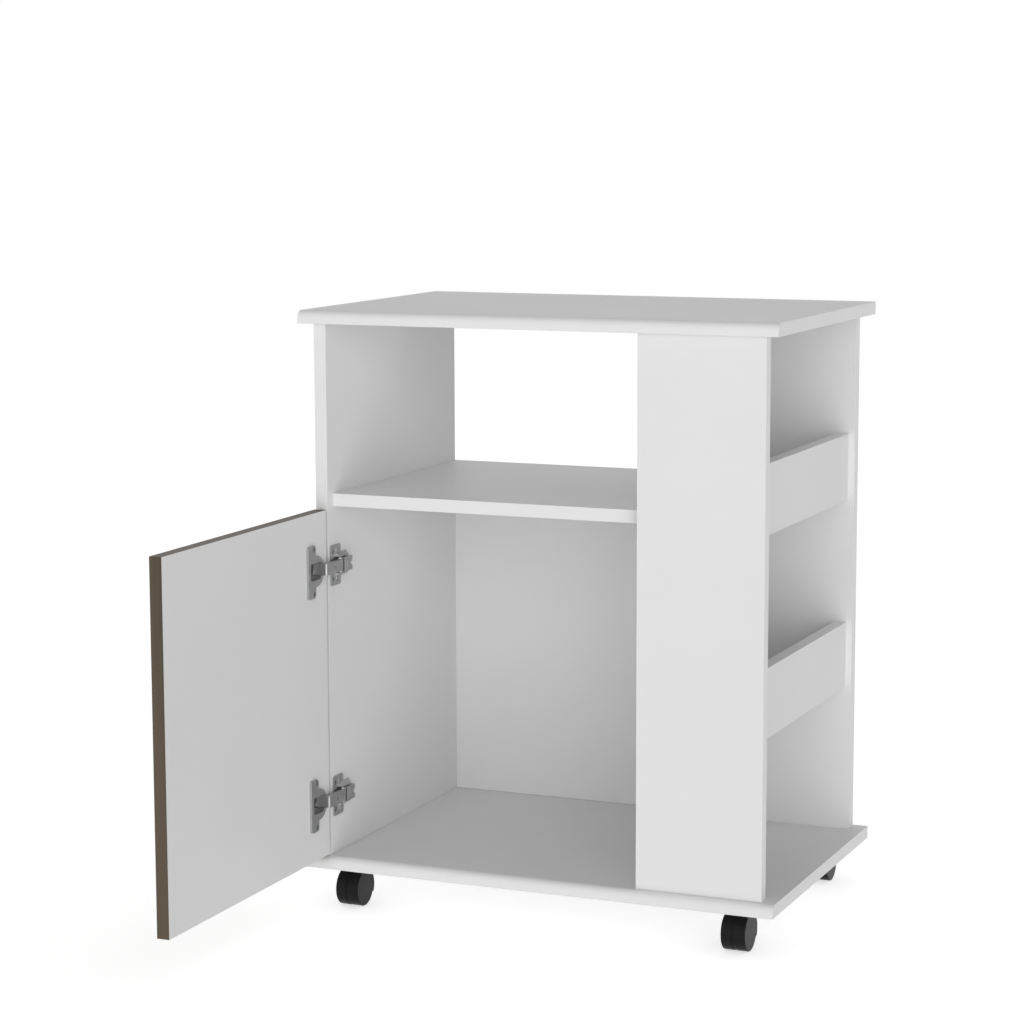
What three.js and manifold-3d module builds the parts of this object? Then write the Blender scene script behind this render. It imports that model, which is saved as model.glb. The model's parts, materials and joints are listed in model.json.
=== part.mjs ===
// A kitchen microwave cart: a white board cabinet on four swivelling twin-wheel casters.
// Left: a niche open front and back over a cupboard whose inset door hangs on two concealed cup hinges.
// Right: a narrow three-tier rack open at its side, with a retaining rail in front of each raised tier.
// Millimetres, +X right, +Y back, +Z up.  The door is shown at rest swung 90 degrees open.
import * as THREE from 'three';
import { mergeVertices } from 'three/addons/utils/BufferGeometryUtils.js';
import Module from 'manifold-3d';

const wasm = await Module();
wasm.setup();

// ---------------------------------------------------------------- driving dimensions
// Cabinet
const board = 15; // thickness of every melamine-faced board
const sideDepth = 360; // front to back of the left side panel
const sideHeight = 625; // clear height between the base and the top
const cupboardWidth = 381; // clear width of the niche and the cupboard
const rackWidth = 133; // from the partition to the right edge of the rack's front panel
const overhangSide = 16; // of the top and the base past the sides
const overhangFront = 10;
const overhangBack = 10;
const edgeRounding = 10; // radius on the front upper edge of the top and the base
const shelfTop = 427; // height of the fixed shelf's upper face above the base
// Rack
const lowerTier = 176; // underside of the lower rack shelf above the base
const upperTier = 404; // underside of the upper rack shelf above the base
const railHeight = 79.5;
const railInset = 7.5; // rails sit this far in from the rack's right edge
// Cupboard back: thin hardboard nailed to the rear edges
const hardboard = 3;
const hardboardInset = 3; // its edges stay this far in from the cabinet's outlines
// Door
const doorSideGap = 3;
const doorTopGap = 2;
const doorBottomGap = 2;
const doorPivotInset = 7; // the turning axis lies this far inside the left panel's outer and front faces
const doorRestAngle = -Math.PI / 2; // swung from closed to the open rest position
// Concealed hinges
const hingeToDoorEnd = 67; // hinge centre from the door's upper or lower edge
const cupToDoorEdge = 30; // cup centre from the door's hinge-side edge
const cupRadius = 17.4;
const cupDepth = 11.3;
const cupWall = 1;
const cupFloor = 1.2;
const cupRing = 0.6; // rim standing round the cup's mouth
const mouthHalfHeight = 10;
const mouthReach = 15.3; // flat far side of the mouth from the cup's centre
const mouthCorner = 3;
const neckReach = 9; // towards the hinge side, bosses narrow the mouth to the link from here on
const linkSideGap = 0.4; // between these bosses and the link's sides
const neckLip = 1.2; // height of the rim left under the link, between the bosses
const flangeThickness = 3;
const flangeHeight = 61.5;
const flangeNear = 2.7; // edges of the cup's flange, from the cup's centre away from the hinge side
const flangeFar = 20.7;
const flangeCorner = 4;
const cupScrewOffset = 6.8; // cup screws from the cup's centre away from the hinge side
const cupScrewSpacing = 52;
const plateThickness = 1.8;
const plateFront = 4; // front edge of the mounting plate from the panel's front edge
const plateWidth = 25;
const plateHeight = 47.5;
const plateCorner = 3;
const plateScrewFromFront = 5;
const plateScrewSpacing = 32;
const slotFromFront = 15; // adjusting slots in the plate's wings
const slotWidth = 5;
const slotLength = 8;
const nosePinOff = 6; // nose pin of the arm: off the panel's inner face
const nosePinBehindDoor = 4; // and behind the closed door's inner face
const nosePinRadius = 1.7;
const rivetHeadRadius = 2.6;
const rivetHead = 0.8;
const rivetCrown = 0.5; // the head draws in by this much to its flat
const armWidth = 16.6; // outside width of the arm's channel
const armReach = 24; // from the nose pin to the arm's rear end
const armRise = 10.2; // outer face of the arm off the panel
const armWebBehindNose = 4.5; // from the nose pin to the front of the arm's web
const armSlotBehindWeb = 2.2; // cross slot in the web, from its front edge
const armSlotLength = 3.8;
const armSlotWidth = 9;
const armNotchDepth = 5; // pointed notch in the web's rear end
const armNotchWidth = 8;
const sheet = 1.2; // sheet steel of arm and link
const noseRadius = 3.6;
const linkRadius = 3.5;
const linkWidth = 13.5;
const linkTipGap = 1.4; // between the link's tip and the mouth's far side, with the door closed
const linkBend = 2; // outer radius of the bend before the link's tip
const linkDrop = 13; // from the pin to the tip's end
const linkSkirt = 1.8; // link side walls below the pin's centre
const linkRivetRadius = 1.5; // of the hole in the link's face
const saddleFlank = 4.3; // width of the sloped flanks beside the arm
const saddleRise = 7;
const saddleBehindDoor = 1; // the flanks start this far behind the closed door's inner face
const saddleSetback = 0.5; // the saddle's core starts this far behind the arm's web
const saddleShort = 2; // the saddle stops this far short of the arm's rear end
const plateTail = 1; // the plate runs on this far past it
// Wood screws of the hinges, countersunk
const screwRadius = 1.7;
const screwHeadRadius = 3.3;
const screwHeadHeight = 1.6;
const screwLength = 12;
const screwPoint = 1.5;
const screwRecessRadius = 1.1;
const screwRecessDepth = 0.9;
// Casters
const casterHeight = 48.5; // floor to the base's underside
const casterInsetX = 49.5; // swivel axis from the base's left and right edges
const casterInsetY = 48.5; // swivel axis from the base's front and back edges
const casterTrail = 16; // swivel axis to wheel axle
const wheelRadius = 21.5;
const wheelWidth = 12.6;
const wheelShoulder = 1.3; // rounding of the wheel's outer edge
const wheelFace = 2.5; // thickness left in front of the axle's blind bore
const axleRadius = 3;
const casterWeb = 3; // housing wall between the two wheels
const casterWebInset = 0.5; // it stays this far inside the treads
const wheelSideGap = 0.2;
const fenderGap = 0.4;
const fenderThickness = 1.5;
const fenderStart = 80; // degrees round the axle, from the wheel's front over its top
const fenderEnd = 205;
const crownRadius = 13;
const crownHeight = 8;
const casterPlate = 40; // side of the square mounting plate
const casterPlateThickness = 2;
const casterPlateCorner = 5;
const casterScrewSpacing = 30;
const casterScrewHole = 2.2; // radius
const raceRadius = 12;
const raceHeight = 1;
const kingpinRadius = 3;
const kingpinLength = 6.6;
// Fits
const clearance = 0.3; // round pieces in their bores, and screws in their pilot holes

// ---------------------------------------------------------------- derived places
const baseZ = casterHeight;
const floorZ = baseZ + board; // upper face of the base: heights in the cabinet count from here
const topZ = floorZ + sideHeight;
const innerFront = board; // inner boards stand back by the inset door's thickness
const partitionX = board + cupboardWidth;
const rackX = partitionX + board;
const rackRight = rackX + rackWidth;
const slabLeft = -overhangSide;
const slabRight = rackRight + overhangSide;
const slabFront = -overhangFront;
const slabBack = sideDepth + overhangBack;
const slabWidth = slabRight - slabLeft;
const innerDepth = sideDepth - innerFront;
const tierDepth = innerDepth - board; // between the rack's front and back panels
const railX = rackRight - railInset - board;
const doorWidth = cupboardWidth - 2 * doorSideGap;
const doorHeight = shelfTop - board - doorTopGap - doorBottomGap;
const doorEdgeX = board + doorSideGap; // hinge-side edge of the closed door
const cupX = doorEdgeX + cupToDoorEdge;
const hingeHeights = {
  lower: floorZ + doorBottomGap + hingeToDoorEnd,
  upper: floorZ + doorBottomGap + doorHeight - hingeToDoorEnd,
};
const nosePin = new THREE.Vector2(board + nosePinOff, innerFront + nosePinBehindDoor);
const linkReach = cupX + mouthReach - linkTipGap - nosePin.x; // from the pin to the tip's outer face
const armFront = nosePin.y + armWebBehindNose;
const armRear = nosePin.y + armReach;
const plateScrewY = plateFront + plateScrewFromFront;
const doorFront = 2 * doorPivotInset - doorEdgeX - doorWidth; // free edge of the open door

// ---------------------------------------------------------------- finishes
// Each call of a finish makes one material of it.
function finish(color, roughness, metalness) {
  return () => new THREE.MeshStandardMaterial({ color, roughness, metalness });
}

const whiteBoard = finish(0xe8e8e6, 0.55, 0);
const doorBoard = finish(0x60523f, 0.6, 0);
const backing = finish(0xb9946a, 0.8, 0);
const nickel = finish(0xb8b8b6, 0.3, 1);
const zincSteel = finish(0xa5a7a8, 0.4, 1);
const blackPlastic = finish(0x17181a, 0.45, 0);

// ---------------------------------------------------------------- shapes
const alongX = new THREE.Matrix4().makeBasis(
  new THREE.Vector3(0, 1, 0), new THREE.Vector3(0, 0, 1), new THREE.Vector3(1, 0, 0));
const alongMinusY = new THREE.Matrix4().makeBasis(
  new THREE.Vector3(1, 0, 0), new THREE.Vector3(0, 0, 1), new THREE.Vector3(0, -1, 0));

// A plate: a flat outline pushed out by a depth, starting at an offset along its own axis.
function plate(shape, depth, offset = 0, orient = null, curveSegments = 8) {
  const geometry = new THREE.ExtrudeGeometry(shape, { depth, bevelEnabled: false, curveSegments });
  geometry.translate(0, 0, offset);
  return orient ? geometry.applyMatrix4(orient) : geometry;
}

function block(x0, x1, y0, y1, z0, z1) {
  const geometry = new THREE.BoxGeometry(x1 - x0, y1 - y0, z1 - z0);
  return geometry.translate((x0 + x1) / 2, (y0 + y1) / 2, (z0 + z1) / 2);
}

function rectangle(x0, x1, y0, y1, r = 0) {
  const shape = new THREE.Shape();
  if (r === 0) {
    shape.moveTo(x0, y0).lineTo(x1, y0).lineTo(x1, y1).lineTo(x0, y1);
    return shape;
  }
  shape.moveTo(x0 + r, y0).lineTo(x1 - r, y0).absarc(x1 - r, y0 + r, r, -Math.PI / 2, 0);
  shape.lineTo(x1, y1 - r).absarc(x1 - r, y1 - r, r, 0, Math.PI / 2);
  shape.lineTo(x0 + r, y1).absarc(x0 + r, y1 - r, r, Math.PI / 2, Math.PI);
  shape.lineTo(x0, y0 + r).absarc(x0 + r, y0 + r, r, Math.PI, 1.5 * Math.PI);
  return shape;
}

function polygon(points) {
  return new THREE.Shape(points.map(([x, y]) => new THREE.Vector2(x, y)));
}

// A slot with round ends, standing along Y.
function uprightSlot(x, y, width, length) {
  const shape = new THREE.Shape();
  const reach = (length - width) / 2;
  shape.absarc(x, y + reach, width / 2, 0, Math.PI);
  shape.absarc(x, y - reach, width / 2, Math.PI, 2 * Math.PI);
  return shape;
}

// A round bar or bore along X, Y or Z between two places on that axis.
function bar(radius, from, to, axis, sides = 20) {
  const geometry = new THREE.CylinderGeometry(radius, radius, to - from, sides);
  geometry.translate(0, (from + to) / 2, 0);
  if (axis === 'x') {
    geometry.rotateZ(-Math.PI / 2);
  }
  if (axis === 'z') {
    geometry.rotateX(Math.PI / 2);
  }
  return geometry;
}

// ---------------------------------------------------------------- joining and cutting
function solid(geometry) {
  const bare = geometry.clone();
  bare.deleteAttribute('normal');
  bare.deleteAttribute('uv');
  const merged = mergeVertices(bare, 1e-4);
  const vertProperties = new Float32Array(merged.attributes.position.array);
  const triVerts = new Uint32Array(merged.index.array);
  return new wasm.Manifold(new wasm.Mesh({ numProp: 3, vertProperties, triVerts }));
}

function shaped({ join = [], cut = [] }) {
  let body = solid(join[0]);
  for (const geometry of join.slice(1)) {
    body = body.add(solid(geometry));
  }
  for (const geometry of cut) {
    body = body.subtract(solid(geometry));
  }
  const mesh = body.getMesh();
  const result = new THREE.BufferGeometry();
  result.setAttribute('position', new THREE.BufferAttribute(new Float32Array(mesh.vertProperties), 3));
  result.setIndex(new THREE.BufferAttribute(new Uint32Array(mesh.triVerts), 1));
  result.computeVertexNormals();
  return result;
}

function piece(name, geometry, material, parent, x = 0, y = 0, z = 0) {
  const mesh = new THREE.Mesh(geometry, material);
  mesh.name = name;
  mesh.position.set(x, y, z);
  parent.add(mesh);
  return mesh;
}

// ---------------------------------------------------------------- the cart
const cart = new THREE.Group();
const cabinet = new THREE.Group();
cart.add(cabinet);

// Top and base: equal slabs that overhang the cabinet all round, front upper edge rounded over.
function roundedSlab() {
  const section = new THREE.Shape();
  section.moveTo(slabFront, 0).lineTo(slabBack, 0).lineTo(slabBack, board);
  section.lineTo(slabFront + edgeRounding, board);
  section.absarc(slabFront + edgeRounding, board - edgeRounding, edgeRounding, Math.PI / 2, Math.PI);
  return plate(section, slabWidth, slabLeft, alongX, 6);
}

function panel(name, x0, x1, y0, y1, z0, z1) {
  piece(name, block(x0, x1, y0, y1, z0, z1), whiteBoard(), cabinet);
}

// Pilot holes that the hinge plates' screws are driven into.
function plateScrewHeights() {
  const offset = plateScrewSpacing / 2;
  return Object.values(hingeHeights).flatMap((z) => [z - offset, z + offset]);
}

function leftSidePanel() {
  const depth = screwLength - plateThickness + 2 * clearance;
  const pilots = plateScrewHeights().map((z) => {
    return bar(screwRadius + clearance, board - depth, board + 1, 'x', 12).translate(0, plateScrewY, z);
  });
  const shell = block(0, board, 0, sideDepth, floorZ, topZ);
  piece('left_side_panel', shaped({ join: [shell], cut: pilots }), whiteBoard(), cabinet);
}

function carcass() {
  piece('base_panel', roundedSlab(), whiteBoard(), cabinet, 0, 0, baseZ);
  leftSidePanel();
  panel('partition_panel', partitionX, rackX, innerFront, sideDepth, floorZ, topZ);
  const shelfZ = floorZ + shelfTop;
  panel('fixed_shelf', board, partitionX, innerFront, sideDepth, shelfZ - board, shelfZ);
  panel('rack_front_panel', partitionX, rackRight, 0, board, floorZ, topZ);
  panel('rack_back_panel', rackX, rackRight, sideDepth - board, sideDepth, floorZ, topZ);
  piece('top_panel', roundedSlab(), whiteBoard(), cabinet, 0, 0, topZ);
}

function backBoard() {
  const right = rackX - hardboardInset;
  const top = floorZ + shelfTop - hardboardInset;
  const geometry = block(hardboardInset, right, sideDepth, sideDepth + hardboard, floorZ, top);
  piece('back_board', geometry, backing(), cabinet);
}

// Rack tiers: a shelf between partition and rail, and the rail that keeps things from falling out.
function rackTier(level, height) {
  const z = floorZ + height;
  const back = innerFront + tierDepth;
  panel(`rack_shelf_${level}`, rackX, railX, innerFront, back, z, z + board);
  panel(`rack_rail_${level}`, railX, railX + board, innerFront, back, z, z + railHeight);
}

// ---------------------------------------------------------------- concealed hinges
// A countersunk wood screw, its head's face at the origin and its point down the -Y axis.
function woodScrew() {
  const profile = [
    [0, -screwLength], [screwRadius, screwPoint - screwLength], [screwRadius, -screwHeadHeight],
    [screwHeadRadius, 0], [screwRecessRadius, 0], [0, -screwRecessDepth],
  ];
  return new THREE.LatheGeometry(profile.map(([x, y]) => new THREE.Vector2(x, y)), 12);
}

// The hole that such a screw passes in sheet metal: a countersink that widens with the head.
function countersink(thickness) {
  const wide = screwHeadRadius + clearance;
  const narrow = screwRadius + clearance;
  const taper = (wide - narrow) / screwHeadHeight;
  const profile = [
    [0, -thickness - 1], [narrow, -thickness - 1], [narrow, -screwHeadHeight],
    [wide, 0], [wide + taper, 1], [0, 1],
  ];
  return new THREE.LatheGeometry(profile.map(([x, y]) => new THREE.Vector2(x, y)), 12);
}

// The pressed cup with its long flange.  Its mouth narrows between two bosses, where the link comes out.
// Origin at the cup's centre on the door's inner face, +Y inwards.
function hingeCup() {
  const flange = rectangle(flangeNear, flangeFar, -flangeHeight / 2, flangeHeight / 2, flangeCorner);
  const drum = bar(cupRadius, -cupDepth, flangeThickness, 'y', 36);
  const rim = bar(cupRadius + cupRing, 0, flangeThickness, 'y', 36);
  const reach = cupRadius - cupWall;
  const neck = linkWidth / 2 + linkSideGap;
  const across = Math.asin(neck / reach);
  const mouth = new THREE.Shape();
  const cornerX = mouthReach - mouthCorner;
  const cornerY = mouthHalfHeight - mouthCorner;
  mouth.absarc(cornerX, -cornerY, mouthCorner, -Math.PI / 2, 0);
  mouth.absarc(cornerX, cornerY, mouthCorner, 0, Math.PI / 2);
  mouth.lineTo(-neckReach, mouthHalfHeight).lineTo(-neckReach, neck);
  mouth.lineTo(-reach * Math.cos(across), neck);
  mouth.absarc(0, 0, reach, Math.PI - across, Math.PI + across);
  mouth.lineTo(-neckReach, -neck).lineTo(-neckReach, -mouthHalfHeight);
  const hollowDepth = cupDepth - cupFloor + flangeThickness + 1;
  const hollow = plate(mouth, hollowDepth, -flangeThickness - 1, alongMinusY, 8);
  const sinks = [-1, 1].map((side) => countersink(flangeThickness)
    .translate(cupScrewOffset, flangeThickness, side * cupScrewSpacing / 2));
  const flat = plate(flange, flangeThickness, -flangeThickness, alongMinusY, 6);
  const passage = block(-cupRadius - cupRing - 1, -neckReach, neckLip, flangeThickness + 1, -neck, neck);
  return shaped({ join: [flat, rim, drum], cut: [hollow, passage, ...sinks] });
}

// The mounting plate on the side panel: two slotted wings, and a saddle with sloped flanks for the arm.
// Origin on the panel's inner face at its front edge, level with the hinge's centre.
function hingePlate() {
  const wingRear = plateFront + plateWidth;
  const wing = rectangle(plateFront, wingRear, -plateHeight / 2, plateHeight / 2, plateCorner);
  const flankInner = armWidth / 2 + rivetHead + 2 * clearance;
  const flankOuter = flankInner + saddleFlank;
  const spine = rectangle(plateFront, armRear + plateTail, -flankOuter, flankOuter);
  const saddleRear = armRear - saddleShort;
  const coreHalf = armWidth / 2 - sheet - clearance;
  const core = block(plateThickness / 2, armRise - sheet, armFront + saddleSetback, saddleRear,
    -coreHalf, coreHalf);
  const flankFront = innerFront + saddleBehindDoor;
  const flanks = [-1, 1].map((side) => {
    const section = polygon([[0, side * flankInner], [0, side * flankOuter],
      [plateThickness, side * flankOuter], [saddleRise, side * flankInner]]);
    return plate(section, saddleRear - flankFront, -saddleRear, alongMinusY);
  });
  const sinks = [-1, 1].map((side) => countersink(plateThickness).rotateZ(-Math.PI / 2)
    .translate(plateThickness, plateScrewY, side * plateScrewSpacing / 2));
  const slots = [-1, 1].map((side) => {
    const z = side * plateScrewSpacing / 2;
    const outline = uprightSlot(plateFront + slotFromFront, z, slotWidth, slotLength);
    return plate(outline, plateThickness + 2, -1, alongX, 8);
  });
  const wings = plate(wing, plateThickness, 0, alongX, 4);
  const base = plate(spine, plateThickness, 0, alongX);
  return shaped({ join: [wings, base, core, ...flanks], cut: [...sinks, ...slots] });
}

// The arm: a sheet-steel channel over the saddle, its two cheeks reaching forward to carry the nose pin.
function hingeArm() {
  const cheek = new THREE.Shape();
  cheek.moveTo(armRise, armRear).lineTo(armRise, armFront).lineTo(nosePinOff + noseRadius, nosePin.y);
  cheek.absarc(nosePinOff, nosePin.y, noseRadius, 0, Math.PI, true);
  cheek.lineTo(plateThickness, armFront).lineTo(plateThickness, armRear);
  const inner = armWidth / 2 - sheet;
  const webUnder = armRise - 2 * sheet; // cuts through the web start here, inside the channel
  const channel = plate(cheek, armWidth, -armWidth / 2, null, 12);
  const hollow = block(-1, armRise - sheet, 0, armRear + 1, -inner, inner);
  const nose = block(webUnder, armRise + 1, 0, armFront, -inner, inner);
  const bore = bar(nosePinRadius + clearance, -armWidth, armWidth, 'z', 16);
  bore.translate(nosePinOff, nosePin.y, 0);
  const slotFront = armFront + armSlotBehindWeb;
  const slot = block(webUnder, armRise + 1, slotFront, slotFront + armSlotLength,
    -armSlotWidth / 2, armSlotWidth / 2);
  const notchHalf = armNotchWidth / 2;
  const vee = polygon([[armRear - armNotchDepth, 0], [armRear + 1, -notchHalf], [armRear + 1, notchHalf]]);
  const notch = plate(vee, 2 * sheet + 1, webUnder, alongX);
  return shaped({ join: [channel], cut: [hollow, nose, bore, slot, notch] });
}

// The link: a channel on the nose pin whose cranked tip runs in the cup.  Origin at the pin, door closed.
function hingeLink() {
  const outer = new THREE.Shape();
  outer.moveTo(0, -linkRadius);
  outer.absarc(0, 0, linkRadius, 1.5 * Math.PI, 0.5 * Math.PI, true);
  const bendX = linkReach - linkBend;
  const bendY = linkRadius - linkBend;
  outer.absarc(bendX, bendY, linkBend, 0.5 * Math.PI, 0, true);
  const tipInside = linkReach - sheet;
  outer.lineTo(linkReach, -linkDrop).lineTo(tipInside, -linkDrop);
  outer.lineTo(tipInside, -linkSkirt - sheet).lineTo(tipInside - sheet, -linkSkirt);
  outer.lineTo(linkRadius, -linkSkirt);
  const inner = new THREE.Shape();
  const under = linkRadius - sheet;
  inner.moveTo(-linkRadius - 2, -linkDrop - 1).lineTo(tipInside, -linkDrop - 1);
  inner.absarc(bendX, bendY, linkBend - sheet, 0, 0.5 * Math.PI, false);
  inner.lineTo(-linkRadius - 2, under);
  const half = linkWidth / 2;
  const channel = plate(outer, linkWidth, -half, null, 10);
  const hollow = plate(inner, linkWidth - 2 * sheet, sheet - half, null, 10);
  const bore = bar(nosePinRadius + clearance, -linkWidth, linkWidth, 'z', 16);
  const rivetHole = bar(linkRivetRadius, 0, linkRadius + 1, 'y', 16).translate(linkReach / 2, 0, 0);
  return shaped({ join: [channel], cut: [hollow, bore, rivetHole] });
}

// The nose pin: a rivet through the arm's cheeks, on which the link turns.
function nosePinGeometry() {
  const half = armWidth / 2 + clearance;
  const flat = rivetHeadRadius - rivetCrown;
  const profile = [
    [0, -half - rivetHead], [flat, -half - rivetHead], [rivetHeadRadius, -half],
    [nosePinRadius, -half], [nosePinRadius, half],
    [rivetHeadRadius, half], [flat, half + rivetHead], [0, half + rivetHead],
  ];
  const geometry = new THREE.LatheGeometry(profile.map(([x, y]) => new THREE.Vector2(x, y)), 16);
  return geometry.rotateX(Math.PI / 2);
}

function hinge(level, z) {
  piece(`hinge_plate_${level}`, hingePlate(), nickel(), cabinet, board, 0, z);
  piece(`hinge_arm_${level}`, hingeArm(), nickel(), cabinet, board, 0, z);
  piece(`hinge_pin_${level}`, nosePinGeometry(), nickel(), cabinet, nosePin.x, nosePin.y, z);
  for (const [end, side] of [['bottom', -1], ['top', 1]]) {
    const geometry = woodScrew().rotateZ(-Math.PI / 2);
    piece(`plate_screw_${level}_${end}`, geometry, zincSteel(), cabinet,
      board + plateThickness, plateScrewY, z + side * plateScrewSpacing / 2);
  }
  const swung = new THREE.Group();
  swung.position.set(nosePin.x, nosePin.y, z);
  swung.rotation.z = doorRestAngle;
  cabinet.add(swung);
  piece(`hinge_link_${level}`, hingeLink(), nickel(), swung);
}

// ---------------------------------------------------------------- door
// Drawn closed, round its turning axis, and swung open to rest.
const doorLeaf = new THREE.Group();
doorLeaf.position.set(doorPivotInset, doorPivotInset, 0);
doorLeaf.rotation.z = doorRestAngle;
cabinet.add(doorLeaf);

function doorPanel() {
  const x0 = doorEdgeX - doorPivotInset;
  const inner = innerFront - doorPivotInset;
  const z0 = floorZ + doorBottomGap;
  const leaf = block(x0, x0 + doorWidth, inner - board, inner, z0, z0 + doorHeight);
  const x = cupX - doorPivotInset;
  const seatFloor = inner - cupDepth - clearance;
  const pilotEnd = inner - (screwLength - flangeThickness + 2 * clearance);
  const bores = Object.values(hingeHeights).flatMap((z) => {
    const seat = bar(cupRadius + clearance, seatFloor, inner + 1, 'y', 36).translate(x, 0, z);
    const pilots = [-1, 1].map((side) => bar(screwRadius + clearance, pilotEnd, inner + 1, 'y', 12)
      .translate(x + cupScrewOffset, 0, z + side * cupScrewSpacing / 2));
    return [seat, ...pilots];
  });
  piece('door_panel', shaped({ join: [leaf], cut: bores }), doorBoard(), doorLeaf);
}

function doorHardware(level, z) {
  const x = cupX - doorPivotInset;
  const inner = innerFront - doorPivotInset;
  piece(`hinge_cup_${level}`, hingeCup(), nickel(), doorLeaf, x, inner, z);
  for (const [end, side] of [['bottom', -1], ['top', 1]]) {
    piece(`cup_screw_${level}_${end}`, woodScrew(), zincSteel(), doorLeaf, x + cupScrewOffset,
      inner + flangeThickness, z + side * cupScrewSpacing / 2);
  }
}

// ---------------------------------------------------------------- casters
// Origin on the swivel axis at the base's underside, the wheels trailing towards -Y.
const axleDrop = casterHeight - wheelRadius;
const raceBottom = -casterPlateThickness - raceHeight;
const crownTop = raceBottom - clearance;
const casterWidth = casterWeb + 2 * (wheelSideGap + wheelWidth);

function casterPlateGeometry() {
  const half = casterPlate / 2;
  const outline = rectangle(-half, half, -half, half, casterPlateCorner);
  for (const [sx, sy] of [[-1, -1], [1, -1], [1, 1], [-1, 1]]) {
    const hole = new THREE.Path();
    hole.absarc(sx * casterScrewSpacing / 2, sy * casterScrewSpacing / 2, casterScrewHole, 0, 2 * Math.PI);
    outline.holes.push(hole);
  }
  const flat = plate(outline, casterPlateThickness, -casterPlateThickness, null, 4);
  const race = bar(raceRadius, raceBottom, -casterPlateThickness / 2, 'z', 24);
  return shaped({ join: [flat, race] });
}

// The housing: a thin wall between the wheels, a fender over their rear quarter and the swivel crown.
function casterHousing() {
  const fenderIn = wheelRadius + fenderGap;
  const fenderOut = fenderIn + fenderThickness;
  const wallRadius = wheelRadius - casterWebInset;
  const turn = (degrees) => Math.PI - THREE.MathUtils.degToRad(degrees);
  const start = turn(fenderStart);
  const end = turn(fenderEnd);
  const wall = new THREE.Shape();
  wall.absarc(0, 0, wallRadius, start, end + 2 * Math.PI, false);
  wall.absarc(0, 0, fenderIn + fenderThickness / 2, end + 2 * Math.PI, start + 2 * Math.PI, false);
  const fender = new THREE.Shape();
  fender.absarc(0, 0, fenderOut, end, start, false);
  fender.absarc(0, 0, fenderIn, start, end, true);
  const place = (geometry) => geometry.translate(0, -casterTrail, -axleDrop);
  const wheelSpace = place(bar(fenderIn, -casterWidth, casterWidth, 'x', 40));
  const turret = bar(crownRadius, crownTop - crownHeight, crownTop, 'z', 28);
  const crown = shaped({ join: [turret], cut: [wheelSpace] });
  const web = place(plate(wall, casterWeb, -casterWeb / 2, alongX, 8));
  const cover = place(plate(fender, casterWidth, -casterWidth / 2, alongX, 8));
  const axleBore = place(bar(axleRadius + clearance, -casterWeb, casterWeb, 'x'));
  const pinBore = bar(kingpinRadius + clearance, raceBottom - kingpinLength - clearance, 0, 'z');
  return shaped({ join: [web, cover, crown], cut: [axleBore, pinBore] });
}

// A wheel turned about Y: solid tread, rounded shoulder, and a blind bore from its inner side.
function wheelGeometry() {
  const bore = axleRadius + clearance;
  const section = new THREE.Path();
  section.moveTo(0, wheelWidth - wheelFace).lineTo(bore, wheelWidth - wheelFace).lineTo(bore, 0);
  section.lineTo(wheelRadius, 0).lineTo(wheelRadius, wheelWidth - wheelShoulder);
  section.absarc(wheelRadius - wheelShoulder, wheelWidth - wheelShoulder, wheelShoulder, 0, Math.PI / 2);
  section.lineTo(0, wheelWidth);
  return new THREE.LatheGeometry(section.getPoints(2), 32);
}

function caster(end, side) {
  const front = end === 'front';
  const mount = new THREE.Group();
  const x = side === 'left' ? slabLeft + casterInsetX : slabRight - casterInsetX;
  const y = front ? slabFront + casterInsetY : slabBack - casterInsetY;
  mount.position.set(x, y, baseZ);
  mount.rotation.z = front ? 0 : Math.PI;
  cabinet.add(mount);
  const place = `${end}_${side}`;
  piece(`caster_plate_${place}`, casterPlateGeometry(), zincSteel(), mount);
  const kingpin = bar(kingpinRadius, -kingpinLength, 0, 'z');
  piece(`caster_kingpin_${place}`, kingpin, zincSteel(), mount, 0, 0, raceBottom);
  piece(`caster_housing_${place}`, casterHousing(), blackPlastic(), mount);
  const reach = casterWeb / 2 + wheelSideGap + wheelWidth - wheelFace - clearance;
  piece(`caster_axle_${place}`, bar(axleRadius, -reach, reach, 'x'), zincSteel(), mount,
    0, -casterTrail, -axleDrop);
  for (const [hand, sign] of [['a', -1], ['b', 1]]) {
    const wheel = wheelGeometry().rotateZ(-sign * Math.PI / 2);
    piece(`wheel_${place}_${hand}`, wheel, blackPlastic(), mount,
      sign * (casterWeb / 2 + wheelSideGap), -casterTrail, -axleDrop);
  }
}

// ---------------------------------------------------------------- assembly
carcass();
backBoard();
rackTier('lower', lowerTier);
rackTier('upper', upperTier);
doorPanel();
for (const [level, z] of Object.entries(hingeHeights)) {
  hinge(level, z);
  doorHardware(level, z);
}
for (const end of ['front', 'back']) {
  for (const side of ['left', 'right']) {
    caster(end, side);
  }
}
// Origin: middle of the outline on the floor, with the door at rest.
cabinet.position.set(-(slabLeft + slabRight) / 2, -(doorFront + slabBack) / 2, 0);

export default cart;
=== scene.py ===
# A kitchen microwave cart of white faced board on four twin-wheel casters, its dark door swung open.
# Metres, +X right, +Y back, +Z up.  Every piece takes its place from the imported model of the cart.
import json
import math

import bmesh
import bpy
from mathutils import Matrix, Quaternion, Vector

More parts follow.
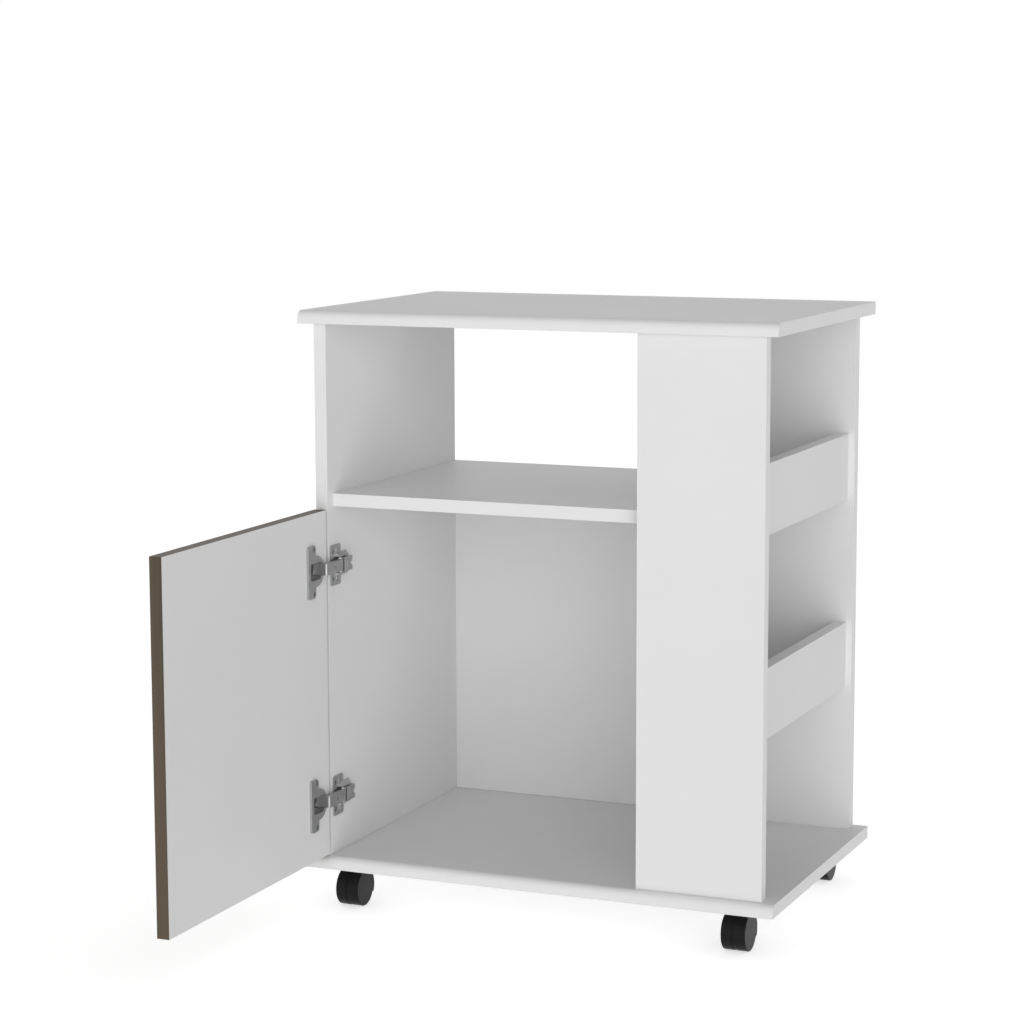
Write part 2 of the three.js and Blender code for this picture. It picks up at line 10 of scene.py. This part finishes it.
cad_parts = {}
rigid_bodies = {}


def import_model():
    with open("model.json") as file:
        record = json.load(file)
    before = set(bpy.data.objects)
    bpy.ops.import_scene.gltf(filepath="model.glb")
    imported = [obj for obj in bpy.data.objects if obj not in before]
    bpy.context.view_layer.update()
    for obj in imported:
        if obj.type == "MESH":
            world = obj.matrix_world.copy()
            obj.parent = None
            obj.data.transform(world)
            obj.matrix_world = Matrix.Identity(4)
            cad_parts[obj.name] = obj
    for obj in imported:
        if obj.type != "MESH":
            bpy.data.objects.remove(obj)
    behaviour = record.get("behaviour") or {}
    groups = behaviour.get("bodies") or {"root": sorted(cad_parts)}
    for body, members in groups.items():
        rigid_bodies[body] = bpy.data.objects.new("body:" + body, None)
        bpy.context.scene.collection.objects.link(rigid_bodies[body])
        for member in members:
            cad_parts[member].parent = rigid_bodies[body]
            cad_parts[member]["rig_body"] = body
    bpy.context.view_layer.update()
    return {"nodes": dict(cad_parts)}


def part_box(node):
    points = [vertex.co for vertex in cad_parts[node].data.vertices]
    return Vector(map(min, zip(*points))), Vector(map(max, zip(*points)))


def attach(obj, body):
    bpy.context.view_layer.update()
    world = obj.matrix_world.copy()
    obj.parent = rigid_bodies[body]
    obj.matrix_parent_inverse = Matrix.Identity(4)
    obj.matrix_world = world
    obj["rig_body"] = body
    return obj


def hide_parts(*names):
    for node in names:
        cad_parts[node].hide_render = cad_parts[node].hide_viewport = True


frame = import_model()
scene = bpy.context.scene
scene.view_settings.view_transform = "Standard"

# ------------------------------------------------------------------ view, light and floor
# The cart is seen from its right front through a long lens, on a white floor in a white room.
# A broad soft lamp shines up at it from low in front and a weaker one from behind, both through the
# floor, and even room light fills the shadows.
camera_place = Vector((1.18413, -2.83540, 0.92067))
camera_azimuth, camera_elevation, camera_roll = 23.068, 8.073, -0.17  # degrees
camera_lens = 97.647  # millimetres, as the sensor is
camera_sensor = 36
front_lamp = (26, 2.55)  # azimuth in degrees, and strength
rear_lamp = (225, 1.2)  # the same, of a fill that polished faces don't mirror
lamp_elevation = -12
lamp_softness = 80  # degrees from one side of a lamp to the other
room_light = 0.4
floor_size = 12
floor_colour = 0.92
floor_glow = 0.6


def towards(azimuth, elevation):
    """The direction from the cart to something seen at these angles, in degrees."""
    around, up = math.radians(azimuth), math.radians(elevation)
    return Vector((math.sin(around) * math.cos(up), -math.cos(around) * math.cos(up), math.sin(up)))


def add_node(tree, kind, feeds, **settings):
    """A new node with these settings, its inputs fed by plain values or by other nodes' outputs."""
    node = tree.nodes.new(kind)
    for setting, value in settings.items():
        setattr(node, setting, value)
    for socket, source in feeds.items():
        if isinstance(source, bpy.types.NodeSocket):
            tree.links.new(source, node.inputs[socket])
        else:
            node.inputs[socket].default_value = source
    return node


def seen_directly(tree):
    """A value of 1 where the camera, a mirror or glass looks at the room, and 0 where the room lights."""
    ray = add_node(tree, "ShaderNodeLightPath", {}).outputs
    looks = add_node(tree, "ShaderNodeMath", {0: ray["Is Camera Ray"], 1: ray["Is Glossy Ray"]})
    looks_on = add_node(tree, "ShaderNodeMath", {0: looks.outputs[0], 1: ray["Is Transmission Ray"]},
                        use_clamp=True)
    return looks_on.outputs[0]


camera_data = bpy.data.cameras.new("camera")
camera_data.lens = camera_lens
camera_data.sensor_width = camera_sensor
camera = bpy.data.objects.new("camera", camera_data)
camera.location = camera_place
camera.rotation_mode = "QUATERNION"
facing = (-towards(camera_azimuth, camera_elevation)).to_track_quat("-Z", "Y")
camera.rotation_quaternion = facing @ Quaternion((0, 0, 1), math.radians(camera_roll))
scene.collection.objects.link(camera)
scene.camera = camera

for name, (azimuth, strength) in {"front_lamp": front_lamp, "rear_lamp": rear_lamp}.items():
    lamp_data = bpy.data.lights.new(name, "SUN")
    lamp_data.energy = strength
    lamp_data.angle = math.radians(lamp_softness)
    lamp = bpy.data.objects.new(name, lamp_data)
    lamp.rotation_mode = "QUATERNION"
    lamp.rotation_quaternion = towards(azimuth, lamp_elevation).to_track_quat("Z", "Y")
    lamp.visible_glossy = name == "front_lamp"
    scene.collection.objects.link(lamp)

world = bpy.data.worlds.new("white_room")
scene.world = world
world.use_nodes = True
tree = world.node_tree
brightness = add_node(tree, "ShaderNodeMapRange", {"Value": seen_directly(tree), "To Min": room_light})
background = tree.nodes["Background"]
background.inputs["Color"].default_value = (1, 1, 1, 1)
tree.links.new(brightness.outputs["Result"], background.inputs["Strength"])

floor_material = bpy.data.materials.new("white_floor")
floor_material.use_nodes = True
tree = floor_material.node_tree
tree.nodes.clear()
paint = add_node(tree, "ShaderNodeBsdfDiffuse", {"Color": (floor_colour, floor_colour, floor_colour, 1)})
glow_level = add_node(tree, "ShaderNodeMath", {0: seen_directly(tree), 1: floor_glow}, operation="MULTIPLY")
glow = add_node(tree, "ShaderNodeEmission", {"Strength": glow_level.outputs[0]})
lit = add_node(tree, "ShaderNodeAddShader", {0: paint.outputs[0], 1: glow.outputs[0]})
clear = add_node(tree, "ShaderNodeBsdfTransparent", {})
from_below = add_node(tree, "ShaderNodeNewGeometry", {}).outputs["Backfacing"]
open_below = add_node(tree, "ShaderNodeMixShader", {0: from_below, 1: lit.outputs[0], 2: clear.outputs[0]})
add_node(tree, "ShaderNodeOutputMaterial", {"Surface": open_below.outputs[0]})

bm = bmesh.new()
bmesh.ops.create_grid(bm, x_segments=1, y_segments=1, size=floor_size / 2)
floor_mesh = bpy.data.meshes.new("floor")
bm.to_mesh(floor_mesh)
bm.free()
floor_mesh.materials.append(floor_material)
floor = bpy.data.objects.new("floor", floor_mesh)
scene.collection.objects.link(floor)
floor.visible_shadow = False

# ------------------------------------------------------------------ boards of the cabinet
# Particle board, 15 mm thick, faced with white melamine and banded with white strip on every edge.
# The top and the base have their front upper edge rounded over; the rounding takes the edge band, but for
# its faces that look nearly straight up.
facing_colour = (231, 231, 231)
facing_patch = (228, 228, 228)
band_colour = (233, 233, 233)
board_shine = 0.2
edge_rounding = 0.010
rounding_steps = 12
arris = 0.0005
arris_steps = 2
broad_face = 0.9  # a face looks along an axis where its normal has more than this along it
corner_angle = 60  # degrees between faces from which an edge is a corner of a board
sharp_angle = 35  # degrees between faces from which an edge is shaded sharp
levels = ("lower", "upper")
slab_names = ["top_panel", "base_panel"]
inner_names = ["partition_panel", "fixed_shelf", "rack_front_panel", "rack_back_panel"]
rack_names = [f"rack_{part}_{level}" for part in ("shelf", "rail") for level in levels]


def tone(red, green, blue):
    """A colour on a card, from 0 to 255, as the light that it gives back."""
    return (*(((value / 255 + 0.055) / 1.055) ** 2.4 for value in (red, green, blue)), 1)


def new_group(name, inputs, outputs):
    """An empty shader group with these named sockets, and what its input node gives."""
    group = bpy.data.node_groups.new(name, "ShaderNodeTree")
    for direction, sockets in (("INPUT", inputs), ("OUTPUT", outputs)):
        for label, kind in sockets.items():
            group.interface.new_socket(label, in_out=direction, socket_type=f"NodeSocket{kind}")
    return group, group.nodes.new("NodeGroupInput").outputs


def fine_texture_group():
    """Slow patches that mix two colours and set the roughness, and a fine tooth as height."""
    group, given = new_group(
        "fine_texture",
        {"Colour": "Color", "Patch Colour": "Color", "Patch Scale": "Float", "Tooth Scale": "Float",
         "Smoothest": "Float", "Roughest": "Float"},
        {"Colour": "Color", "Roughness": "Float", "Height": "Float"},
    )
    place = add_node(group, "ShaderNodeTexCoord", {}).outputs["Object"]
    patches = add_node(group, "ShaderNodeTexNoise",
                       {"Vector": place, "Scale": given["Patch Scale"], "Detail": 4}).outputs["Fac"]
    tooth = add_node(group, "ShaderNodeTexNoise",
                     {"Vector": place, "Scale": given["Tooth Scale"], "Detail": 2}).outputs["Fac"]
    mixed = add_node(group, "ShaderNodeMix",
                     {"Factor": patches, "A": given["Colour"], "B": given["Patch Colour"]}, data_type="RGBA")
    rough = add_node(group, "ShaderNodeMapRange",
                     {"Value": patches, "To Min": given["Smoothest"], "To Max": given["Roughest"]})
    add_node(group, "NodeGroupOutput",
             {"Colour": mixed.outputs["Result"], "Roughness": rough.outputs["Result"], "Height": tooth})
    return group


fine_texture = fine_texture_group()


def textured(name, colour, patch_colour, patch_scale, tooth_scale, tooth_depth, roughness,
             metallic=0.0, shine=0.5):
    """A finish of one colour with slow patches of another, and a fine tooth of some depth in metres."""
    material = bpy.data.materials.new(name)
    material.use_nodes = True
    tree = material.node_tree
    shader = tree.nodes["Principled BSDF"]
    shader.inputs["Metallic"].default_value = metallic
    shader.inputs["Specular IOR Level"].default_value = shine
    texture = add_node(tree, "ShaderNodeGroup", {
        "Colour": tone(*colour), "Patch Colour": tone(*patch_colour), "Patch Scale": patch_scale,
        "Tooth Scale": tooth_scale, "Smoothest": roughness[0], "Roughest": roughness[1],
    }, node_tree=fine_texture).outputs
    relief = add_node(tree, "ShaderNodeBump", {"Height": texture["Height"], "Distance": tooth_depth})
    tree.links.new(texture["Colour"], shader.inputs["Base Color"])
    tree.links.new(texture["Roughness"], shader.inputs["Roughness"])
    tree.links.new(relief.outputs["Normal"], shader.inputs["Normal"])
    return material


white_facing = textured("white_facing", facing_colour, facing_patch, patch_scale=9, tooth_scale=900,
                        tooth_depth=0.00003, roughness=(0.42, 0.52), shine=board_shine)
white_band = textured("white_band", band_colour, facing_patch, patch_scale=14, tooth_scale=500,
                      tooth_depth=0.00002, roughness=(0.34, 0.44), shine=board_shine)


def box_mesh(low, high):
    """A plain block between two corners."""
    bm = bmesh.new()
    bmesh.ops.create_cube(bm, size=1)
    bmesh.ops.scale(bm, vec=high - low, verts=bm.verts)
    bmesh.ops.translate(bm, vec=(low + high) / 2, verts=bm.verts)
    return bm


def round_over(bm, edges, radius, segments, material=-1):
    """Rounds these edges, the new faces taking their neighbours' material or the one given."""
    bmesh.ops.bevel(bm, geom=edges, offset=radius, affect="EDGES", segments=segments, profile=0.5,
                    material=material)


def corner_edges(bm):
    """The edges at a board's corners, less those that are already rounded over."""
    return [edge for edge in bm.edges if edge.calc_face_angle(0) > math.radians(corner_angle)]


def band_edges(bm, low, high):
    """Gives every face that isn't one of the two broad ones the edge band, and eases the arrises."""
    size = high - low
    thin = min(range(3), key=lambda axis: size[axis])
    for face in bm.faces:
        face.material_index = 0 if abs(face.normal[thin]) > broad_face else 1
    round_over(bm, corner_edges(bm), arris, arris_steps, material=1)


def add_piece(name, bm, materials, slot, *nodes, sharp=sharp_angle):
    """The finished piece of this mesh, in place of its nodes and moving with their body."""
    mesh = bpy.data.meshes.new(name)
    bm.to_mesh(mesh)
    bm.free()
    for material in materials:
        mesh.materials.append(material)
    mesh.shade_smooth()
    mesh.set_sharp_from_angle(angle=math.radians(sharp))
    piece = bpy.data.objects.new(name, mesh)
    scene.collection.objects.link(piece)
    even = piece.modifiers.new("even_faces", "WEIGHTED_NORMAL")
    even.keep_sharp = True
    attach(piece, frame["nodes"][nodes[0]]["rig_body"])
    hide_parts(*nodes)
    return piece


for node in slab_names:
    low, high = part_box(node)
    bm = box_mesh(low, high)
    front_upper = [edge for edge in bm.edges
                   if all(v.co.y < low.y + arris and v.co.z > high.z - arris for v in edge.verts)]
    round_over(bm, front_upper, edge_rounding, rounding_steps)
    band_edges(bm, low, high)
    add_piece(f"{node}_slab", bm, [white_facing, white_band], "white_board", node)

for node in [*inner_names, *rack_names]:
    low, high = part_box(node)
    bm = box_mesh(low, high)
    band_edges(bm, low, high)
    add_piece(f"{node}_board", bm, [white_facing, white_band], "white_board", node)

# ------------------------------------------------------------------ left side panel
# A board like the others, upright between the base and the top on the door's side.
# Four pilot holes bored in its inner face take the screws of the two hinge plates.
bored_colour = (176, 146, 104)
bored_patch = (128, 98, 62)
screw_radius = 0.0017
pilot_clearance = 0.0003  # round a screw and past its point
pilot_sides = 24
bore_overrun = 0.001  # how far a cutter stands out of the face that it enters
screw_ends = ("bottom", "top")

chipboard = textured("chipboard", bored_colour, bored_patch, patch_scale=500, tooth_scale=900,
                     tooth_depth=0.0002, roughness=(0.8, 0.9))


def cut_away(bm, cutter):
    """The first mesh less the second, by way of two passing objects."""
    made = []
    for shape in (bm, cutter):
        mesh = bpy.data.meshes.new("cutting")
        shape.to_mesh(mesh)
        shape.free()
        piece = bpy.data.objects.new("cutting", mesh)
        scene.collection.objects.link(piece)
        made.append(piece)
    body, tool = made
    boolean = body.modifiers.new("cut", "BOOLEAN")
    boolean.operation = "DIFFERENCE"
    boolean.solver = "EXACT"
    boolean.object = tool
    result = bmesh.new()
    result.from_object(body, bpy.context.evaluated_depsgraph_get())
    for piece in made:
        mesh = piece.data
        bpy.data.objects.remove(piece)
        bpy.data.meshes.remove(mesh)
    return result


def turn(bm, verts, degrees, axis):
    """Turns these vertices about an axis through the origin."""
    bmesh.ops.rotate(bm, cent=(0, 0, 0), matrix=Matrix.Rotation(math.radians(degrees), 3, axis), verts=verts)


def add_bore(bm, start, end, y, z, radius, sides, material):
    """Adds a round bar along X to a mesh of cutters."""
    made = bmesh.ops.create_cone(bm, cap_ends=True, segments=sides, radius1=radius, radius2=radius,
                                 depth=end - start)["verts"]
    turn(bm, made, 90, "Y")
    bmesh.ops.translate(bm, vec=((start + end) / 2, y, z), verts=made)
    for face in {face for v in made for face in v.link_faces}:
        face.material_index = material


def bore_pilots(bm, part, end, material):
    """Adds to a mesh of cutters the holes of all the hinge screws of this part, up to a place on X."""
    for level in levels:
        for screw_end in screw_ends:
            low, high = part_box(f"{part}_screw_{level}_{screw_end}")
            middle = (low + high) / 2
            add_bore(bm, low.x - pilot_clearance, end, middle.y, middle.z,
                     screw_radius + pilot_clearance, pilot_sides, material)


low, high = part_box("left_side_panel")
bm = box_mesh(low, high)
band_edges(bm, low, high)
side_finishes = [white_facing, white_band, chipboard]
pilots = bmesh.new()
bore_pilots(pilots, "plate", high.x + bore_overrun, side_finishes.index(chipboard))
bm = cut_away(bm, pilots)
add_piece("left_side_panel_board", bm, side_finishes, "white_board", "left_side_panel")

# ------------------------------------------------------------------ back of the cupboard
# Hardboard, 3 mm thick, painted white towards the cupboard and bare brown behind.
# It is nailed on to the rear edges of the side panel, the partition, the base and the fixed shelf.
bare_colour = (150, 112, 74)
bare_patch = (131, 95, 62)
nail_colour = (150, 150, 148)
nail_patch = (120, 120, 118)
hardboard_arris = 0.0003
nail_radius = 0.0016
nail_rise = 0.0005
nail_sides = 12
nail_rings = 6
nail_inset = 0.008
nail_spacing = 0.095
nail_shading = 60  # a head's shallow steps are shaded smooth up to this many degrees

brown_hardboard = textured("brown_hardboard", bare_colour, bare_patch, patch_scale=60, tooth_scale=700,
                           tooth_depth=0.00012, roughness=(0.7, 0.85))
white_paint = textured("white_paint", facing_colour, facing_patch, patch_scale=12, tooth_scale=1200,
                       tooth_depth=0.00002, roughness=(0.5, 0.6), shine=board_shine)
nail_steel = textured("nail_steel", nail_colour, nail_patch, patch_scale=900, tooth_scale=3000,
                      tooth_depth=0.00001, roughness=(0.3, 0.5), metallic=1.0)

low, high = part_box("back_board")
bm = box_mesh(low, high)
for face in bm.faces:
    face.material_index = 0 if face.normal.y < -broad_face else 1
round_over(bm, corner_edges(bm), hardboard_arris, 1)
add_piece("back_board_sheet", bm, [white_paint, brown_hardboard], "hardboard", "back_board")

left, right = low.x + nail_inset, high.x - nail_inset
bottom, top = low.z + nail_inset, high.z - nail_inset
columns = round((right - left) / nail_spacing)
rows = round((top - bottom) / nail_spacing)
nail_places = []
for step in range(columns + 1):
    x = left + step * (right - left) / columns
    nail_places += [(x, bottom), (x, top)]
for step in range(1, rows):
    z = bottom + step * (top - bottom) / rows
    nail_places += [(left, z), (right, z)]
bm = bmesh.new()
for x, z in nail_places:
    head = bmesh.ops.create_uvsphere(bm, u_segments=nail_sides, v_segments=nail_rings,
                                     radius=nail_radius)["verts"]
    bmesh.ops.scale(bm, vec=(1, nail_rise / nail_radius, 1), verts=head)
    bmesh.ops.translate(bm, vec=(x, high.y, z), verts=head)
add_piece("back_board_nails", bm, [nail_steel], "zinc_steel", "back_board", sharp=nail_shading)

# ------------------------------------------------------------------ door
# A 15 mm board, white inside and dark walnut pattern outside, its edges banded with the same walnut.
# Two round seats and four pilot holes are bored in its inner face for the hinge cups.
walnut_colour = (74, 63, 50)
walnut_dark = (54, 45, 36)
walnut_light = (92, 80, 65)
walnut_roughness = 0.5
walnut_shine = 0.3
pore_depth = 0.00005
grain_stretch = 0.045  # how much slower the pattern changes along the grain
streak_scale = 95
streak_wander = 0.6
streak_range = (0.34, 0.66)  # the noise values that are spread over the two darker browns
band_scale = 18
band_range = (0.5, 0.8)
pore_scale = 900
cup_radius = 0.0174
cup_rim_radius = 0.0180
cup_clearance = 0.0003
seat_sides = 72


def wood_grain_group():
    """Long streaks of three browns, with fine open pores, running along the Z of its vector."""
    group, given = new_group(
        "wood_grain",
        {"Vector": "Vector", "Light": "Color", "Middle": "Color", "Dark": "Color"},
        {"Colour": "Color", "Height": "Float"},
    )
    place = add_node(group, "ShaderNodeMapping",
                     {"Vector": given["Vector"], "Scale": (1, 1, grain_stretch)}).outputs["Vector"]
    streaks = add_node(group, "ShaderNodeTexNoise",
                       {"Vector": place, "Scale": streak_scale, "Detail": 5, "Distortion": streak_wander})
    bands = add_node(group, "ShaderNodeTexNoise", {"Vector": place, "Scale": band_scale, "Detail": 2})
    pores = add_node(group, "ShaderNodeTexNoise", {"Vector": place, "Scale": pore_scale, "Detail": 1})
    browner = add_node(group, "ShaderNodeMapRange",
                       {"Value": streaks.outputs["Fac"], "From Min": streak_range[0],
                        "From Max": streak_range[1]})
    paler = add_node(group, "ShaderNodeMapRange",
                     {"Value": bands.outputs["Fac"], "From Min": band_range[0],
                      "From Max": band_range[1]})
    streaked = add_node(group, "ShaderNodeMix",
                        {"Factor": browner.outputs["Result"], "A": given["Dark"], "B": given["Middle"]},
                        data_type="RGBA")
    banded = add_node(group, "ShaderNodeMix",
                      {"Factor": paler.outputs["Result"], "A": streaked.outputs["Result"],
                       "B": given["Light"]}, data_type="RGBA")
    add_node(group, "NodeGroupOutput",
             {"Colour": banded.outputs["Result"], "Height": pores.outputs["Fac"]})
    return group


wood_grain = wood_grain_group()


def walnut(name, tilt):
    """The walnut film with its grain along Z, or tilted about X by so many degrees."""
    material = bpy.data.materials.new(name)
    material.use_nodes = True
    tree = material.node_tree
    shader = tree.nodes["Principled BSDF"]
    shader.inputs["Roughness"].default_value = walnut_roughness
    shader.inputs["Specular IOR Level"].default_value = walnut_shine
    place = add_node(tree, "ShaderNodeTexCoord", {})
    tilted = add_node(tree, "ShaderNodeMapping",
                      {"Vector": place.outputs["Object"], "Rotation": (math.radians(tilt), 0, 0)})
    grain = add_node(tree, "ShaderNodeGroup", {
        "Vector": tilted.outputs["Vector"], "Light": tone(*walnut_light), "Middle": tone(*walnut_colour),
        "Dark": tone(*walnut_dark),
    }, node_tree=wood_grain).outputs
    relief = add_node(tree, "ShaderNodeBump", {"Height": grain["Height"], "Distance": pore_depth})
    tree.links.new(grain["Colour"], shader.inputs["Base Color"])
    tree.links.new(relief.outputs["Normal"], shader.inputs["Normal"])
    return material


walnut_upright = walnut("walnut_upright", 0)
walnut_level = walnut("walnut_level", 90)
door_finishes = [white_facing, walnut_upright, walnut_level, chipboard]
low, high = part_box("door_panel")
bm = box_mesh(low, high)
for face in bm.faces:
    if face.normal.x > broad_face:
        finish = white_facing
    else:
        finish = walnut_level if abs(face.normal.z) > broad_face else walnut_upright
    face.material_index = door_finishes.index(finish)
round_over(bm, corner_edges(bm), arris, arris_steps)
seats = bmesh.new()
bored = door_finishes.index(chipboard)
for level in levels:
    cup_low, cup_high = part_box(f"hinge_cup_{level}")
    add_bore(seats, cup_low.x - cup_clearance, high.x + bore_overrun, cup_high.y - cup_rim_radius,
             (cup_low.z + cup_high.z) / 2, cup_radius + cup_clearance, seat_sides, bored)
bore_pilots(seats, "cup", high.x + bore_overrun, bored)
bm = cut_away(bm, seats)
add_piece("door_leaf", bm, door_finishes, "door_board", "door_panel")

# ------------------------------------------------------------------ hinges
# Two concealed cup hinges, pressed from nickel-plated sheet steel: a cup in the door, a link that
# runs out of it to the nose pin, and an arm that sits over a slotted plate on the side panel.
nickel_colour = (188, 188, 189)
nickel_patch = (181, 181, 182)
pressed_arris = 0.0002
flat_angle = 1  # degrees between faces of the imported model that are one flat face
weld_distance = 0.00001
round_sides = 48
screw_head_radius = 0.0033
screw_head_height = 0.0016
sink_clearance = 0.00032  # round a screw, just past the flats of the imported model's hole

nickel = textured("nickel_plate", nickel_colour, nickel_patch, patch_scale=60, tooth_scale=2500,
                  tooth_depth=0.000006, roughness=(0.35, 0.41), metallic=1.0)


def joined_copy(node):
    """A copy of a node's mesh with its loose triangles joined into flat faces."""
    bm = bmesh.new()
    bm.from_mesh(frame["nodes"][node].data)
    bmesh.ops.remove_doubles(bm, verts=bm.verts, dist=weld_distance)
    bmesh.ops.dissolve_limit(bm, angle_limit=math.radians(flat_angle), verts=bm.verts, edges=bm.edges)
    for face in bm.faces:
        face.material_index = 0
    return bm


def eased(piece, width):
    """Rounds the sharp edges of a piece by a small width, before its shading is evened."""
    ease = piece.modifiers.new("ease", "BEVEL")
    ease.width = width
    ease.segments = arris_steps
    ease.limit_method = "ANGLE"
    ease.angle_limit = math.radians(sharp_angle)
    piece.modifiers.move(1, 0)


def sink_screws(bm, part, level):
    """Cuts round countersunk holes where the screws of a cup or a plate pass it."""
    foot = screw_radius + sink_clearance
    mouth = screw_head_radius + sink_clearance
    flare = (mouth - foot) / screw_head_height * bore_overrun
    cutter = bmesh.new()
    for screw_end in screw_ends:
        low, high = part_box(f"{part}_screw_{level}_{screw_end}")
        sink = bmesh.ops.create_cone(cutter, cap_ends=True, segments=round_sides, radius1=foot,
                                     radius2=mouth + flare, depth=screw_head_height + bore_overrun)["verts"]
        turn(cutter, sink, 90, "Y")
        centre = (low + high) / 2
        centre.x = high.x + (bore_overrun - screw_head_height) / 2
        bmesh.ops.translate(cutter, vec=centre, verts=sink)
    return cut_away(bm, cutter)


for level in levels:
    for part in ("cup", "plate", "arm", "link", "pin"):
        node = f"hinge_{part}_{level}"
        bm = joined_copy(node)
        if part in ("cup", "plate"):
            bm = sink_screws(bm, part, level)
        eased(add_piece(f"{node}_pressed", bm, [nickel], "nickel_steel", node), pressed_arris)

# ------------------------------------------------------------------ hinge screws
# Countersunk wood screws, zinc plated, with a cross recess pressed into the head.
# Two hold each cup in the door, and two hold each plate on the side panel.
zinc_colour = (168, 170, 172)
zinc_patch = (146, 149, 152)
screw_point = 0.0015
head_edge = 0.00015
recess_width = 0.0009
recess_span = 0.0040
recess_depth = 0.0012

zinc = textured("zinc_plate", zinc_colour, zinc_patch, patch_scale=150, tooth_scale=1800,
                tooth_depth=0.000008, roughness=(0.28, 0.42), metallic=1.0)


def turned(profile, sides):
    """A mesh turned about X from pairs of a radius and a place along X."""
    bm = bmesh.new()
    verts = [bm.verts.new((x, radius, 0)) for radius, x in profile]
    edges = [bm.edges.new(pair) for pair in zip(verts, verts[1:])]
    bmesh.ops.spin(bm, geom=verts + edges, cent=(0, 0, 0), axis=(1, 0, 0), angle=2 * math.pi,
                   steps=sides, use_merge=True)
    bmesh.ops.remove_doubles(bm, verts=bm.verts, dist=weld_distance)
    bmesh.ops.recalc_face_normals(bm, faces=bm.faces)
    return bm


def cross_recess(bm, top):
    """Cuts a cross into a screw head whose top is at this place on the X axis."""
    for degrees in (45, 135):
        arm = box_mesh(Vector((top - recess_depth, -recess_span / 2, -recess_width / 2)),
                       Vector((top + recess_depth, recess_span / 2, recess_width / 2)))
        turn(arm, arm.verts, degrees, "X")
        bm = cut_away(bm, arm)
    return bm


for node in [f"{part}_screw_{level}_{screw_end}"
             for part in ("cup", "plate") for level in levels for screw_end in screw_ends]:
    low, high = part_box(node)
    length = high.x - low.x
    bm = cross_recess(turned([
        (0, -length), (screw_radius, screw_point - length), (screw_radius, -screw_head_height),
        (screw_head_radius, -head_edge), (screw_head_radius - head_edge, 0), (0, 0),
    ], round_sides), 0)
    bmesh.ops.translate(bm, vec=(high.x, (low.y + high.y) / 2, (low.z + high.z) / 2), verts=bm.verts)
    add_piece(f"{node}_turned", bm, [zinc], "zinc_steel", node)

# ------------------------------------------------------------------ caster wheels
# Two black nylon wheels on each caster, moulded with a smooth tread and a plain outer disc.
# Each is pushed on to its end of the axle, which its blind bore takes from the inner side.
plastic_colour = (25, 25, 25)
plastic_patch = (22, 22, 22)
plastic_shine = 0.1
wheel_bore = 0.0033
wheel_face = 0.0025
wheel_shoulder = 0.0010
shoulder_steps = 6
wheel_sides = 96
caster_places = [f"{end}_{hand}" for end in ("front", "back") for hand in ("left", "right")]

black_plastic = textured("black_plastic", plastic_colour, plastic_patch, patch_scale=40, tooth_scale=1500,
                         tooth_depth=0.00001, roughness=(0.3, 0.36), shine=plastic_shine)


def quarter_turn(steps):
    """The angles of the points of a quarter of a circle, from 0, in radians."""
    return [step / steps * math.pi / 2 for step in range(steps + 1)]


for place in caster_places:
    axle_low, axle_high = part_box(f"caster_axle_{place}")
    for letter in ("a", "b"):
        node = f"wheel_{place}_{letter}"
        low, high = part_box(node)
        centre, radius, width = (low + high) / 2, (high.z - low.z) / 2, high.x - low.x
        bore = [(0, width - wheel_face), (wheel_bore, width - wheel_face), (wheel_bore, 0)]
        shoulder = [
            (radius - wheel_shoulder * (1 - math.cos(angle)), width - wheel_shoulder * (1 - math.sin(angle)))
            for angle in quarter_turn(shoulder_steps)
        ]
        bm = turned([*bore, (radius, 0), *shoulder, (0, width)], wheel_sides)
        outwards = centre.x > (axle_low.x + axle_high.x) / 2
        if not outwards:
            turn(bm, bm.verts, 180, "Z")
        bmesh.ops.translate(bm, vec=(low.x if outwards else high.x, centre.y, centre.z), verts=bm.verts)
        add_piece(f"{node}_moulded", bm, [black_plastic], "black_plastic", node)

# ------------------------------------------------------------------ caster housings, axles and plates
# The wheels run on a steel axle through a black nylon housing, which turns on the kingpin of a
# zinc-plated steel plate.  Four dome-headed screws hold each plate up against the base.
moulded_arris = 0.0003
caster_plate_thickness = 0.002
caster_screw_spacing = 0.030
dome_radius = 0.0038
dome_height = 0.0022
dome_shank = 0.0020
dome_steps = 6
dome_sides = 32

for place in caster_places:
    node = f"caster_housing_{place}"
    eased(add_piece(f"{node}_moulded", joined_copy(node), [black_plastic], "black_plastic", node),
          moulded_arris)
    for part in ("plate", "kingpin", "axle"):
        node = f"caster_{part}_{place}"
        eased(add_piece(f"{node}_made", joined_copy(node), [zinc], "zinc_steel", node), pressed_arris)

shank = [(0, -caster_plate_thickness), (dome_shank, -caster_plate_thickness), (dome_shank, 0)]
dome = [(dome_radius * math.cos(angle), dome_height * math.sin(angle)) for angle in quarter_turn(dome_steps)]
bm = cross_recess(turned([*shank, *dome], dome_sides), dome_height)
turn(bm, bm.verts, 90, "Y")
dome_screw = bpy.data.meshes.new("dome_screw")
bm.to_mesh(dome_screw)
bm.free()
half_spacing = caster_screw_spacing / 2
for place in caster_places:
    node = f"caster_plate_{place}"
    low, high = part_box(node)
    centre = (low + high) / 2
    bm = bmesh.new()
    for x in (centre.x - half_spacing, centre.x + half_spacing):
        for y in (centre.y - half_spacing, centre.y + half_spacing):
            others = set(bm.verts)
            bm.from_mesh(dome_screw)
            screw = [v for v in bm.verts if v not in others]
            bmesh.ops.translate(bm, vec=(x, y, high.z - caster_plate_thickness), verts=screw)
    add_piece(f"{node}_screws", bm, [zinc], "zinc_steel", node)
bpy.data.meshes.remove(dome_screw)
